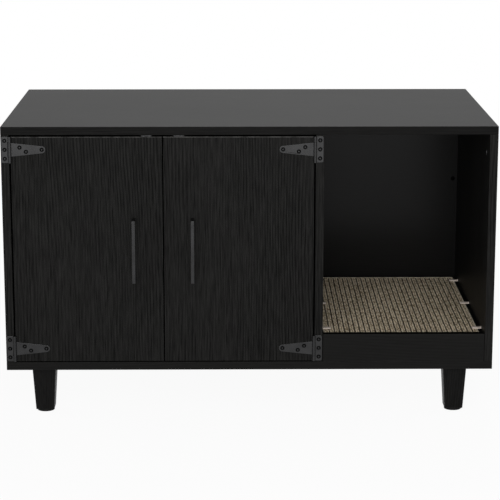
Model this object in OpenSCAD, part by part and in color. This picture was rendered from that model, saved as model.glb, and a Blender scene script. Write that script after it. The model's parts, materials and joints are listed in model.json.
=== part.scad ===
// Pet crate end table: a cupboard with two hinged doors beside an open entrance bay with a ribbed mat.
// Boards stand on four tapered legs. The front faces -Y, +X is to the right and the floor is at Z 0.

/* [Cabinet] */
// Width over the two side panels
cabinet_w = 900; // [760:1:1100]
// Depth of the boxed body, from the boards' front edges to their back edges
cabinet_d = 500; // [440:1:600]
// Height of the boxed body, from the underside of the bottom panel to the table top
cabinet_h = 455; // [400:1:560]
// Thickness of the top, bottom, side and divider boards
board_t = 15; // [15:0.5:20]
// Clear width of the entrance bay
entrance_w = 300; // [240:1:360]
// Thickness of the two back panels
back_t = 5; // [3:0.5:6]
// How far the back panels are set in from the boards' back edges
back_inset = 10; // [6:0.5:16]
// How deep the back panels reach into the grooves of the boards
groove_d = 5; // [3:0.5:6]

/* [Legs] */
// Height from the floor to the underside of the bottom panel
leg_h = 88; // [60:1:160]
// Side of the square top of a leg
leg_top = 44; // [36:1:52]
// Side of the square foot of a leg
leg_foot = 34; // [26:1:36]
// Distance from the cabinet's side to the leg's outer face at its top
leg_inset_x = 45; // [30:1:70]
// Distance from the cabinet's front or back edge to the leg's outer face at its top
leg_inset_y = 20; // [12:1:40]
// Diameter of the glide under a foot
glide_d = 32; // [16:1:33]
// Thickness of the glide under a foot
glide_t = 4.5; // [1.5:0.5:5]
// Diameter of the threaded bolt in a leg
leg_bolt_d = 8; // [6:1:8]
// How deep the bolt reaches into the leg
leg_bolt_in_leg = 40; // [30:1:45]
// How far the bolt reaches into the nut in the bottom panel
leg_bolt_in_nut = 12; // [10:0.5:12.5]
// Outer diameter of the nut set into the bottom panel
insert_nut_d = 11; // [10.5:0.5:13]
// Height of the nut set into the bottom panel
insert_nut_h = 13; // [12:0.5:13.5]

/* [Doors] */
// Thickness of a door
door_t = 15; // [15:0.5:18]
// Gap under the doors and between them
door_gap = 2; // [1.6:0.1:3]
// Gap between a door and the upright board that carries its hinges
hinge_gap = 3; // [1.8:0.1:3.4]
// Gap over the doors
top_gap = 3; // [1.6:0.1:4]

/* [Hinges] */
// Height of the hinge leaf and its barrel
leaf_h = 48; // [46:1:56]
// Width of the hinge leaf, from the hinge's axis to its outer edge
leaf_w = 15; // [14:0.5:15.5]
// Corner radius of the leaf
leaf_corner = 3; // [1:0.5:4]
// Distance from a hinge leaf to the top or bottom of the door opening
hinge_inset = 2.5; // [0.5:0.5:8]
// Thickness of the hinge plates
hinge_t = 1.5; // [1.2:0.1:1.8]
// Diameter of the hinge barrel
knuckle_d = 6; // [5.5:0.1:6.5]
// Diameter of the hinge pin
hinge_pin_d = 3; // [2.4:0.1:3.4]
// Height of the strap where it leaves the barrel
strap_root_h = 27; // [24:1:32]
// Height of the strap at its round tip
strap_tip_h = 13; // [12:1:18]
// Length of the strap, from the hinge's axis to its tip
strap_l = 64.5; // [58:0.5:72]
// Distance between the screws of a leaf
leaf_screw_pitch = 16.5; // [16:0.5:18.5]
// Distance from the hinge's axis to the screws of a leaf
leaf_screw_x = 9; // [8.5:0.1:9.5]
// Distance from the hinge's axis to the strap's first screw
strap_screw_1 = 18; // [14:0.5:20]
// How far the strap's first screw sits above the strap's middle
strap_screw_1_up = 4.2; // [2:0.1:5]
// Distance from the hinge's axis to the strap's second screw
strap_screw_2 = 29.5; // [27:0.5:36]
// How far the strap's second screw sits below the strap's middle
strap_screw_2_down = 3.7; // [1:0.1:4.5]
// Diameter of a hinge screw's shank
hinge_screw_d = 3; // [2.5:0.1:3.4]
// Length of a hinge screw under its head
hinge_screw_l = 14; // [10:1:14]
// Diameter of a hinge screw's head
hinge_screw_head_d = 5.8; // [5:0.1:6]
// Height of a hinge screw's rounded head over the plate
hinge_screw_dome = 0.8; // [0.5:0.1:1]

/* [Handles] */
// Length of a handle
handle_l = 116; // [90:1:160]
// Width of a handle's square bar
handle_w = 6; // [6:0.5:10]
// Thickness of the grip and of the two ends of a handle
handle_bar = 6; // [6:0.5:10]
// How far a handle stands out from the door
handle_projection = 29; // [24:1:40]
// Distance from the middle of the gap between the doors to a handle's centre line
handle_offset = 53.5; // [30:0.5:80]
// How far the handle's middle sits above the door's middle
handle_rise = 2; // [-60:0.5:20]
// Diameter of a handle screw
handle_screw_d = 4; // [3:0.5:4.5]
// How deep a handle screw reaches into the handle
handle_screw_in = 10; // [8:0.5:14]
// Diameter of a handle screw's head
handle_screw_head_d = 8; // [7:0.5:10]
// Height of a handle screw's head
handle_screw_dome = 2.4; // [1.5:0.1:3]

/* [Door catches] */
// Distance from the middle of the gap between the doors to a catch's middle
catch_offset = 29.5; // [27:0.5:60]
// Width of a catch's fixing flange
catch_flange_w = 46; // [44:1:50]
// Width of a catch's housing
catch_w = 26; // [24:1:28]
// Depth of a catch, front to back
catch_d = 13; // [12:0.5:18]
// Height of a catch's housing
catch_h = 13; // [12:0.5:16]
// Thickness of the flange and of the housing's walls
catch_wall = 2.5; // [2:0.1:3]
// Width of the strike plate
strike_w = 18; // [14:1:20]
// Thickness of the strike plate
strike_t = 1; // [0.8:0.1:1.2]
// Length of the strike plate's arm on the door's top edge
strike_top_l = 10; // [6:0.5:12]
// Height of the strike plate's arm on the door's back
strike_back_h = 24; // [23:0.5:30]
// Diameter of the catches' and the strike plates' screws
catch_screw_d = 3; // [2.5:0.1:3.4]
// Length of the catches' and the strike plates' screws under their heads
catch_screw_l = 12; // [8:1:13]
// Diameter of the head of these screws
catch_screw_head_d = 5.4; // [5:0.1:6]

/* [Entrance floor] */
// Height of the fascia board across the foot of the entrance
fascia_h = 52.5; // [52:0.5:80]
// Thickness of the fascia board
fascia_t = 15; // [15:0.5:18]
// Gap at each end of the fascia board
fascia_end_gap = 0.8; // [0.3:0.1:0.9]
// Height of the cleats that carry the platform
cleat_h = 31; // [24:0.5:31]
// Width of the cleats
cleat_w = 18; // [15:0.5:25]
// Thickness of the platform board
platform_t = 12; // [9:0.5:12]
// Gap between the platform board and the boards round it
platform_gap = 0.5; // [0.3:0.1:0.9]
// Thickness of the mat, to the crests of its ribs
mat_t = 6; // [4:0.5:6]
// Height of the mat's ribs
rib_h = 2; // [1:0.1:2.5]
// Pitch of the mat's ribs
rib_pitch = 9.65; // [6:0.05:14]
// Gap between the mat and the divider
mat_gap_left = 3; // [1:0.5:8]
// Gap between the mat and the right side panel
mat_gap_right = 7; // [1:0.5:10]
// Gap between the mat and the fascia board
mat_gap_front = 3; // [1:0.5:10]
// Gap between the mat and the back panel
mat_gap_back = 18; // [5:0.5:30]

/* [Mat pegs] */
// Length of the flat tab that lies over the mat's edge
peg_tab_l = 17.5; // [15:0.5:26]
// Width of the tab
peg_tab_w = 10; // [8:0.5:16]
// Thickness of the tab
peg_tab_t = 2.1; // [2:0.1:3]
// Corner radius of the tab
peg_corner = 2; // [1:0.5:3.5]
// Diameter of the peg's pin
peg_pin_d = 5; // [4:0.5:6]
// Length of the peg's pin in the board
peg_pin_l = 10; // [7:0.5:10]
// Number of pegs along each side of the mat
pegs_per_side = 3; // [2:1:4]
// Distance from the mat's front edge to the first peg
peg_front = 37; // [36:1:60]
// Distance from the mat's back edge to the last peg
peg_back = 33; // [15:1:50]

/* [Doorway in the divider] */
// Width of the doorway, front to back
doorway_w = 190; // [150:1:200]
// Height of the doorway
doorway_h = 240; // [180:1:250]
// Radius of the doorway's corners
doorway_corner = 60; // [20:1:70]
// Height of the doorway's sill over the floor of the cupboard
doorway_sill = 94; // [80:1:110]
// Distance from the boards' front edges to the doorway
doorway_front = 185; // [150:1:190]

/* [Joints between the boards] */
// Diameter of a cam lock
cam_d = 15; // [12:0.5:16]
// Depth of a cam lock in its board
cam_t = 12.5; // [12.5:0.5:13.5]
// Distance from the end of an upright board to the middle of its cam locks
cam_inset = 40; // [34:1:46]
// Distance from the boards' front edges to the front cam locks
cam_front = 44; // [34:1:46]
// Distance from the back panels to the back cam locks
cam_back = 90; // [80:1:95]
// Diameter of a cam bolt's shaft
cam_bolt_d = 7; // [6:0.5:7.5]
// Diameter of a cam bolt's thread
cam_thread_d = 5; // [4:0.5:6]
// Diameter of a dowel
dowel_d = 8; // [6:0.5:9]
// How deep a dowel or a cam bolt's thread reaches into the face of the top or bottom panel
dowel_in_face = 11; // [9:0.5:12]
// How deep a dowel reaches into the end of an upright board
dowel_in_edge = 19; // [14:0.5:25]
// Distance from the boards' front edges to the front dowels
dowel_front = 108; // [98:1:140]
// Distance from the back panels to the back dowels
dowel_back = 40; // [25:1:50]
// Distance from the ends of the fascia board to its outer dowels
fascia_dowel_end = 40; // [25:1:60]
// Diameter of a cleat's screws
cleat_screw_d = 3.5; // [3:0.1:4]
// Length of a cleat's screws
cleat_screw_l = 29; // [27:0.5:30]
// Diameter of the head of a cleat's screws
cleat_screw_head_d = 7; // [6:0.5:8]
// Number of screws in each cleat
cleat_screw_count = 3; // [2:1:4]
// Distance from the ends of a cleat to its end screws
cleat_screw_end = 60; // [56:1:64]

/* [Back panel fixings] */
// Width of the blocks behind the back panels
back_block_w = 18; // [14:1:26]
// Height of the blocks behind the back panels
back_block_h = 30; // [16:1:50]
// Height of these blocks' middle over the underside of the cabinet
back_block_z = 270; // [150:1:330]
// Diameter of a back panel screw
back_screw_d = 3.5; // [3:0.1:4]
// Length of a back panel screw under its head
back_screw_l = 13; // [11:0.5:14]
// Diameter of a back panel screw's head
back_screw_head_d = 8; // [6:0.5:9]
// Height of a back panel screw's head
back_screw_dome = 1.6; // [1:0.1:2]

/* [Hidden] */
$fn = 48;
// Clearance all round a peg, pin, screw or dowel in its hole
fit = 0.05;
// Clearance at the blind end of a hole, and round a cam bolt's shaft
end_fit = 0.3;
// How far a cam bolt ends before the middle of its cam lock
cam_bolt_short = 2.5;
// Clearance between a back panel and the walls of its groove
groove_fit = 0.1;
// Clearance between the knuckles of a hinge, and round the strap's knuckle
knuckle_fit = 0.25;
// How far the strap's plate stands back from the two ends of its knuckle
strap_shoulder = 0.5;
// Clearance between a closed door's strike plate and its catch
strike_fit = 0.3;
// How far a cutting shape reaches past the face that it opens
past = 1;
// Width and depth of the cross recess in a screw head, as shares of the head's width
recess_w = 0.16;
recess_l = 0.62;
recess_deep = 0.14;
// How far under the valleys between its ribs the mat's backing ends
rib_root = 0.4;
// Height of the slight crown on a flat screw head
flat_crown = 0.1;
// Steps in the curve of a domed screw head
dome_steps = 4;
// Steps in the round of a strap's tip
tip_steps = 20;

board_colour = "#232221";
edge_colour = "#2b2a29";
hinge_colour = "#3c3c3d";
screw_colour = "#4a4a4b";
handle_colour = "#3d3d3e";
zinc_colour = "#9a9a9a";
mat_colour = "#8d7c60";
peg_colour = "#e8e6e0";
dowel_colour = "#b08d5c";
plastic_colour = "#1a1a1a";

// The handles reach furthest to the front, so the origin is under the middle of the whole object
front_y = -(cabinet_d - handle_projection) / 2;
back_y = front_y + cabinet_d;
back_panel_y = back_y - back_inset - back_t;
left_x = -cabinet_w / 2;
right_x = cabinet_w / 2;
cupboard_x0 = left_x + board_t;
entrance_x1 = right_x - board_t;
entrance_x0 = entrance_x1 - entrance_w;
cupboard_x1 = entrance_x0 - board_t;
top_z = leg_h + cabinet_h;
floor_z = leg_h + board_t;
ceiling_z = top_z - board_t;
opening_h = ceiling_z - floor_z;

door_gap_x = (cupboard_x0 + cupboard_x1) / 2;
door_w = (cupboard_x1 - cupboard_x0 - 2 * hinge_gap - door_gap) / 2;
door_h = opening_h - door_gap - top_gap;
door_z = floor_z + door_gap;
door_top_z = door_z + door_h;
door_back_y = front_y + door_t;

axis_y = front_y - knuckle_d / 2;
axis_x = [cupboard_x0 + hinge_gap / 2, cupboard_x1 - hinge_gap / 2];
hinge_z = [ceiling_z - hinge_inset - leaf_h / 2, floor_z + hinge_inset + leaf_h / 2];
strap_tip_r = strap_tip_h / 2;
strap_tip_x = strap_l - strap_tip_r;
strap_root_half = strap_root_h / 2 - knuckle_fit;
// The plates meet the barrel just beside its axis, where its round back has left the plane of the face
plate_start = knuckle_d / 10;
strap_run = strap_tip_x - plate_start;
strap_plate_half = strap_root_half - strap_shoulder;
strap_lean = asin(strap_tip_r / norm([strap_run, strap_plate_half])) - atan2(strap_plate_half, strap_run);
strap_screws = [[strap_screw_1, strap_screw_1_up], [strap_screw_2, -strap_screw_2_down], [strap_tip_x, 0]];
leaf_screws = [for (k = [-1:1]) [-leaf_screw_x, k * leaf_screw_pitch]];

handle_z = door_z + door_h / 2 + handle_rise;
handle_screw_z = handle_l / 2 - handle_bar / 2;

strike_y = door_back_y + strike_t;
catch_y = strike_y + strike_fit;
catch_screw_x = (catch_flange_w / 2 + catch_w / 2) / 2;
strike_screw_z = door_top_z - strike_back_h + catch_screw_head_d;

platform_z = floor_z + cleat_h;
mat_z = platform_z + platform_t;
mat_top_z = mat_z + mat_t;
mat_x0 = entrance_x0 + mat_gap_left;
mat_w = entrance_w - mat_gap_left - mat_gap_right;
mat_y0 = front_y + fascia_t + mat_gap_front;
mat_l = back_panel_y - mat_gap_back - mat_y0;
rib_count = round(mat_w / rib_pitch);
rib_w = mat_w / rib_count;
rib_r = (rib_w * rib_w / 4 + rib_h * rib_h) / (2 * rib_h);
peg_y0 = mat_y0 + peg_front;
peg_step = (mat_l - peg_front - peg_back) / (pegs_per_side - 1);
peg_ys = [for (k = [0:pegs_per_side - 1]) peg_y0 + k * peg_step];
peg_pin_z = mat_top_z + peg_tab_t / 2;

// Each upright board has its cam locks in one face, which looks to +X or -X
upright_x = [left_x, cupboard_x1, entrance_x1];
cam_face_x = [cupboard_x0, cupboard_x1, entrance_x1];
cam_side = [1, -1, -1];
cam_ys = [front_y + cam_front, back_panel_y - cam_back];
dowel_ys = [front_y + dowel_front, back_panel_y - dowel_back];
// The lower and the upper end of the uprights: where it is, and which way is into the upright
end_z = [floor_z, ceiling_z];
end_up = [1, -1];
cam_bolt_tip = cam_inset - cam_bolt_short;
cam_slot = cam_bolt_d + 2 * end_fit;
fascia_dowel_xs = [
    entrance_x0 + fascia_dowel_end,
    (entrance_x0 + entrance_x1) / 2,
    entrance_x1 - fascia_dowel_end,
];

cleat_y0 = front_y + fascia_t;
cleat_l = back_panel_y - cleat_y0;
cleat_screw_y0 = cleat_y0 + cleat_screw_end;
cleat_screw_step = (cleat_l - 2 * cleat_screw_end) / (cleat_screw_count - 1);
cleat_screw_ys = [for (k = [0:cleat_screw_count - 1]) cleat_screw_y0 + k * cleat_screw_step];
cleat_screw_z = floor_z + cleat_h / 2;

leg_xs = [left_x + leg_inset_x + leg_top / 2, right_x - leg_inset_x - leg_top / 2];
leg_ys = [front_y + leg_inset_y + leg_top / 2, back_y - leg_inset_y - leg_top / 2];

// A screw along Z: the plane under its head is Z 0, and a countersunk head's cone reaches below it
module screw(d, l, head_d, dome, cone) {
    difference() {
        rotate_extrude()
            polygon(concat(
                [[0, -l], [d / 2, d - l], [d / 2, -cone], [head_d / 2, 0]],
                [for (k = [1:dome_steps - 1]) let (a = 90 * k / dome_steps)
                    [head_d / 2 * cos(a), dome * sin(a)]],
                [[0, dome]]
            ));
        for (turn = [0, 90])
            rotate([0, 0, turn])
                translate([-head_d * recess_l / 2, -head_d * recess_w / 2, dome - head_d * recess_deep])
                    cube([head_d * recess_l, head_d * recess_w, head_d]);
    }
}

// The hole for such a screw, with its countersink
module screw_hole(d, l, head_d, cone) {
    rotate_extrude()
        polygon([
            [0, -l - end_fit],
            [d / 2 + fit, -l - end_fit],
            [d / 2 + fit, -cone],
            [head_d / 2 + fit, 0],
            [head_d / 2 + fit, past],
            [0, past],
        ]);
}

function cone_of(d, head_d) = (head_d - d) / 2;

// Places children, made along Z with a head at the top, so that they run back into the cabinet from y
module into_front(x, y, z) {
    translate([x, y, z])
        rotate([90, 0, 0])
            children();
}

// The same, running forward from the inside
module into_back(x, y, z) {
    translate([x, y, z])
        rotate([-90, 0, 0])
            children();
}

// A cylinder along Z from z0 to z1, whichever is higher
module post(x, y, z0, z1, d) {
    translate([x, y, min(z0, z1)])
        cylinder(d = d, h = abs(z1 - z0));
}

// A cylinder along X from x0 to x1, whichever is higher
module rod_x(x0, x1, y, z, d) {
    translate([min(x0, x1), y, z])
        rotate([0, 90, 0])
            cylinder(d = d, h = abs(x1 - x0));
}

// Upright boards

function upright_mid(i) = upright_x[i] + board_t / 2;
function cam_z(e) = end_z[e] + end_up[e] * cam_inset;

// The holes for cam locks, cam bolts and dowels in upright i
module upright_joint_holes(i) {
    for (e = [0, 1]) {
        for (y = cam_ys) {
            rod_x(
                cam_face_x[i] + cam_side[i] * past,
                cam_face_x[i] - cam_side[i] * cam_t,
                y, cam_z(e), cam_d + 2 * fit
            );
            post(upright_mid(i), y, end_z[e] - end_up[e] * past, cam_z(e), cam_slot);
        }
        for (y = dowel_ys)
            post(
                upright_mid(i), y, end_z[e] - end_up[e] * past,
                end_z[e] + end_up[e] * (dowel_in_edge + end_fit), dowel_d + 2 * fit
            );
    }
}

// The holes in the face of the top or bottom panel that meet those in the uprights
module face_joint_holes(e) {
    for (i = [0:2]) {
        for (y = cam_ys)
            post(
                upright_mid(i), y, end_z[e] + end_up[e] * past,
                end_z[e] - end_up[e] * (dowel_in_face + end_fit), cam_thread_d + 2 * fit
            );
        for (y = dowel_ys)
            post(
                upright_mid(i), y, end_z[e] + end_up[e] * past,
                end_z[e] - end_up[e] * (dowel_in_face + end_fit), dowel_d + 2 * fit
            );
    }
}

// The groove for a back panel that fills the bay from x0 to x1, cut into every board round it
module back_groove(x0, x1) {
    reach = groove_d + end_fit;
    translate([x0 - reach, back_panel_y - groove_fit, floor_z - reach])
        cube([x1 - x0 + 2 * reach, back_t + 2 * groove_fit, opening_h + 2 * reach]);
}

module upright_board(i) {
    difference() {
        translate([upright_x[i], front_y, floor_z])
            cube([board_t, cabinet_d, opening_h]);
        upright_joint_holes(i);
        back_groove(cupboard_x0, cupboard_x1);
        back_groove(entrance_x0, entrance_x1);
    }
}

// The pilot holes for the leaves of the hinges on one axis, side 0 at the left and 1 at the right
module leaf_pilot_holes(side) {
    for (z = hinge_z)
        for (s = leaf_screws)
            into_front(axis_x[side] + (side == 0 ? s[0] : -s[0]), front_y - hinge_t, z + s[1])
                screw_hole(hinge_screw_d, hinge_screw_l, hinge_screw_d, 0);
}

// The holes for the mat's pegs in the wall whose face is at x, facing side
module peg_holes(x, side) {
    for (y = peg_ys)
        rod_x(x + side * past, x - side * (peg_pin_l + end_fit), y, peg_pin_z, peg_pin_d + 2 * fit);
}

module cleat_pilot_holes(x, side) {
    for (y = cleat_screw_ys)
        translate([x + side * cleat_w, y, cleat_screw_z])
            rotate([0, side * 90, 0])
                screw_hole(cleat_screw_d, cleat_screw_l, cleat_screw_d, 0);
}

module left_side_panel() {
    color(board_colour)
        difference() {
            upright_board(0);
            leaf_pilot_holes(0);
        }
}

module right_side_panel() {
    color(board_colour)
        difference() {
            upright_board(2);
            peg_holes(entrance_x1, -1);
            cleat_pilot_holes(entrance_x1, -1);
        }
}

module divider_panel() {
    color(board_colour)
        difference() {
            upright_board(1);
            leaf_pilot_holes(1);
            peg_holes(entrance_x0, 1);
            cleat_pilot_holes(entrance_x0, 1);
            translate([cupboard_x1 - past, 0, 0])
                doorway(board_t + 2 * past);
        }
}

// The doorway's outline, cut through along X over the given length
module doorway(l) {
    y0 = front_y + doorway_front + doorway_corner;
    y1 = front_y + doorway_front + doorway_w - doorway_corner;
    z0 = floor_z + doorway_sill + doorway_corner;
    z1 = floor_z + doorway_sill + doorway_h - doorway_corner;
    translate([0, y0 - doorway_corner, z0])
        cube([l, doorway_w, z1 - z0]);
    translate([0, y0, z0 - doorway_corner])
        cube([l, y1 - y0, doorway_h]);
    for (y = [y0, y1])
        for (z = [z0, z1])
            rod_x(0, l, y, z, 2 * doorway_corner);
}

// Top, bottom and back

module top_panel() {
    color(board_colour)
        difference() {
            translate([left_x, front_y, ceiling_z])
                cube([cabinet_w, cabinet_d, board_t]);
            face_joint_holes(1);
            back_groove(cupboard_x0, cupboard_x1);
            back_groove(entrance_x0, entrance_x1);
            for (side = [-1, 1])
                for (end = [-1, 1])
                    translate([
                        door_gap_x + side * catch_offset + end * catch_screw_x,
                        catch_y + catch_d / 2,
                        ceiling_z - catch_wall,
                    ])
                        mirror([0, 0, 1])
                            screw_hole(catch_screw_d, catch_screw_l, catch_screw_d, 0);
        }
}

module bottom_panel() {
    color(board_colour)
        difference() {
            translate([left_x, front_y, leg_h])
                cube([cabinet_w, cabinet_d, board_t]);
            face_joint_holes(0);
            back_groove(cupboard_x0, cupboard_x1);
            back_groove(entrance_x0, entrance_x1);
            for (x = leg_xs)
                for (y = leg_ys)
                    post(x, y, leg_h - past, leg_h + insert_nut_h + end_fit, insert_nut_d + 2 * fit);
            for (x = fascia_dowel_xs)
                post(
                    x, front_y + fascia_t / 2, floor_z + past,
                    floor_z - dowel_in_face - end_fit, dowel_d + 2 * fit
                );
        }
}

module back_panel(x0, x1) {
    difference() {
        translate([x0 - groove_d, back_panel_y, floor_z - groove_d])
            cube([x1 - x0 + 2 * groove_d, back_t, opening_h + 2 * groove_d]);
        for (x = [x0 + back_block_w / 2, x1 - back_block_w / 2])
            into_front(x, back_panel_y, leg_h + back_block_z)
                screw_hole(back_screw_d, back_screw_l, back_screw_d, 0);
    }
}

module cupboard_back() {
    color(board_colour)
        back_panel(cupboard_x0, cupboard_x1);
}

module entrance_back() {
    color(board_colour)
        back_panel(entrance_x0, entrance_x1);
}

// The inner corner of each bay, where a block or its screw stands
module at_back_corners() {
    for (bay = [[cupboard_x0, cupboard_x1], [entrance_x0, entrance_x1]])
        for (x = [bay[0] + back_block_w / 2, bay[1] - back_block_w / 2])
            translate([x, back_panel_y, leg_h + back_block_z])
                children();
}

module back_blocks() {
    color(plastic_colour)
        at_back_corners()
            difference() {
                translate([-back_block_w / 2, back_t, -back_block_h / 2])
                    cube([back_block_w, back_inset, back_block_h]);
                into_front(0, 0, 0)
                    screw_hole(back_screw_d, back_screw_l, back_screw_d, 0);
            }
}

module back_screws() {
    color(screw_colour)
        at_back_corners()
            into_front(0, 0, 0)
                screw(back_screw_d, back_screw_l, back_screw_head_d, back_screw_dome, 0);
}

// Entrance floor

module fascia_board() {
    color(board_colour)
        difference() {
            translate([entrance_x0 + fascia_end_gap, front_y, floor_z])
                cube([entrance_w - 2 * fascia_end_gap, fascia_t, fascia_h]);
            for (x = fascia_dowel_xs)
                post(
                    x, front_y + fascia_t / 2, floor_z - past,
                    floor_z + dowel_in_edge + end_fit, dowel_d + 2 * fit
                );
        }
}

// A cleat against the wall whose face is at x, facing side
module cleat(x, side) {
    difference() {
        translate([min(x, x + side * cleat_w), cleat_y0, floor_z])
            cube([cleat_w, cleat_l, cleat_h]);
        for (y = cleat_screw_ys)
            translate([x + side * cleat_w, y, cleat_screw_z])
                rotate([0, side * 90, 0])
                    screw_hole(
                        cleat_screw_d, cleat_screw_l, cleat_screw_head_d,
                        cone_of(cleat_screw_d, cleat_screw_head_d)
                    );
    }
}

module left_cleat() {
    color(edge_colour)
        cleat(entrance_x0, 1);
}

module right_cleat() {
    color(edge_colour)
        cleat(entrance_x1, -1);
}

module cleat_screws() {
    color(zinc_colour)
        for (wall = [[entrance_x0, 1], [entrance_x1, -1]])
            for (y = cleat_screw_ys)
                translate([wall[0] + wall[1] * cleat_w, y, cleat_screw_z])
                    rotate([0, wall[1] * 90, 0])
                        screw(
                            cleat_screw_d, cleat_screw_l, cleat_screw_head_d, flat_crown,
                            cone_of(cleat_screw_d, cleat_screw_head_d)
                        );
}

module platform_board() {
    color(board_colour)
        translate([entrance_x0 + platform_gap, cleat_y0 + platform_gap, platform_z])
            cube([entrance_w - 2 * platform_gap, cleat_l - 2 * platform_gap, platform_t]);
}

// A flat mat with round ribs that run front to back
module scratch_mat() {
    color(mat_colour)
        translate([mat_x0, mat_y0 + mat_l, mat_z])
            rotate([90, 0, 0])
                linear_extrude(mat_l)
                    intersection() {
                        square([mat_w, mat_t + past]);
                        union() {
                            square([mat_w, mat_t - rib_h - rib_root]);
                            for (k = [0:rib_count - 1])
                                translate([(k + 0.5) * rib_w, mat_t - rib_r])
                                    circle(r = rib_r);
                        }
                    }
}

// One peg with its tab along +X, from the wall's face at X 0
module mat_peg() {
    translate([0, 0, mat_top_z])
        linear_extrude(peg_tab_t) {
            translate([0, -peg_tab_w / 2])
                square([peg_tab_l - peg_corner, peg_tab_w]);
            translate([0, peg_corner - peg_tab_w / 2])
                square([peg_tab_l, peg_tab_w - 2 * peg_corner]);
            for (side = [-1, 1])
                translate([peg_tab_l - peg_corner, side * (peg_tab_w / 2 - peg_corner)])
                    circle(r = peg_corner);
        }
    rod_x(-peg_pin_l, past, 0, peg_pin_z, peg_pin_d);
}

module mat_pegs() {
    color(peg_colour)
        for (y = peg_ys) {
            translate([entrance_x0, y, 0])
                mat_peg();
            translate([entrance_x1, y, 0])
                mirror([1, 0, 0])
                    mat_peg();
        }
}

// Legs

// A square leg that tapers alike on its four sides, with a hole for its bolt
module leg(x, y) {
    outline = [
        [-leg_top / 2, leg_h],
        [leg_top / 2, leg_h],
        [leg_foot / 2, glide_t],
        [-leg_foot / 2, glide_t],
    ];
    translate([x, y, 0])
        difference() {
            intersection() {
                translate([0, leg_top / 2, 0])
                    rotate([90, 0, 0])
                        linear_extrude(leg_top)
                            polygon(outline);
                rotate([0, 0, 90])
                    translate([0, leg_top / 2, 0])
                        rotate([90, 0, 0])
                            linear_extrude(leg_top)
                                polygon(outline);
            }
            post(0, 0, leg_h - leg_bolt_in_leg - end_fit, leg_h + past, leg_bolt_d + 2 * fit);
        }
}

module leg_front_left() {
    color(edge_colour)
        leg(leg_xs[0], leg_ys[0]);
}

module leg_front_right() {
    color(edge_colour)
        leg(leg_xs[1], leg_ys[0]);
}

module leg_back_left() {
    color(edge_colour)
        leg(leg_xs[0], leg_ys[1]);
}

module leg_back_right() {
    color(edge_colour)
        leg(leg_xs[1], leg_ys[1]);
}

module at_legs() {
    for (x = leg_xs)
        for (y = leg_ys)
            translate([x, y, 0])
                children();
}

module leg_bolts() {
    color(zinc_colour)
        at_legs()
            post(0, 0, leg_h - leg_bolt_in_leg, leg_h + leg_bolt_in_nut, leg_bolt_d);
}

module insert_nuts() {
    color(zinc_colour)
        at_legs()
            difference() {
                post(0, 0, leg_h, leg_h + insert_nut_h, insert_nut_d);
                post(0, 0, leg_h - past, leg_h + insert_nut_h + past, leg_bolt_d + 2 * fit);
            }
}

module foot_glides() {
    color(plastic_colour)
        at_legs()
            post(0, 0, 0, glide_t, glide_d);
}

// Cam locks, cam bolts and dowels

// A cam lock with the slot that takes its bolt and a cross recess in its face
module cam_lock(i, e) {
    face = cam_face_x[i];
    side = cam_side[i];
    slot_z = end_z[e] + end_up[e] * (cam_bolt_tip + end_fit);
    rim_z = cam_z(e) - end_up[e] * cam_d;
    difference() {
        rod_x(face, face - side * (cam_t - end_fit), 0, cam_z(e), cam_d);
        translate([upright_mid(i) - cam_slot / 2, -cam_slot / 2, min(slot_z, rim_z)])
            cube([cam_slot, cam_slot, abs(slot_z - rim_z)]);
        for (turn = [0, 90])
            translate([face, 0, cam_z(e)])
                rotate([turn, 0, 0])
                    cube([cam_d * recess_deep * 2, cam_d * recess_l, cam_d * recess_w], center = true);
    }
}

module cam_locks() {
    color(zinc_colour)
        for (i = [0:2])
            for (e = [0, 1])
                for (y = cam_ys)
                    translate([0, y, 0])
                        cam_lock(i, e);
}

module cam_bolts() {
    color(zinc_colour)
        for (i = [0:2])
            for (e = [0, 1])
                for (y = cam_ys) {
                    post(upright_mid(i), y, end_z[e], end_z[e] + end_up[e] * cam_bolt_tip, cam_bolt_d);
                    post(
                        upright_mid(i), y, end_z[e] - end_up[e] * dowel_in_face,
                        end_z[e] + end_up[e] * past, cam_thread_d
                    );
                }
}

module dowels() {
    color(dowel_colour) {
        for (i = [0:2])
            for (e = [0, 1])
                for (y = dowel_ys)
                    post(
                        upright_mid(i), y, end_z[e] - end_up[e] * dowel_in_face,
                        end_z[e] + end_up[e] * dowel_in_edge, dowel_d
                    );
        for (x = fascia_dowel_xs)
            post(x, front_y + fascia_t / 2, floor_z - dowel_in_face, floor_z + dowel_in_edge, dowel_d);
    }
}

// Hinges, made round the axis with the door towards +X and the cabinet's face behind it

// Places a hinge part on one of the two axes, turned round for the right door
module at_hinge(side, level) {
    translate([axis_x[side], axis_y, hinge_z[level]])
        mirror([side, 0, 0])
            children();
}

// A plate whose outline lies in the plane of the face, its back on that face
module on_face(t) {
    translate([0, knuckle_d / 2, 0])
        rotate([90, 0, 0])
            linear_extrude(t)
                children();
}

module knuckle(z0, z1) {
    post(0, 0, z0, z1, knuckle_d);
}

module pin_bore() {
    post(0, 0, -leaf_h, leaf_h, hinge_pin_d + 2 * fit);
}

module plate_screw_holes(places) {
    for (s = places)
        into_front(s[0], knuckle_d / 2 - hinge_t, s[1])
            screw_hole(
                hinge_screw_d, hinge_screw_l, hinge_screw_head_d,
                cone_of(hinge_screw_d, hinge_screw_head_d)
            );
}

module plate_screws(places) {
    for (s = places)
        into_front(s[0], knuckle_d / 2 - hinge_t, s[1])
            screw(
                hinge_screw_d, hinge_screw_l, hinge_screw_head_d, hinge_screw_dome,
                cone_of(hinge_screw_d, hinge_screw_head_d)
            );
}

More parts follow.
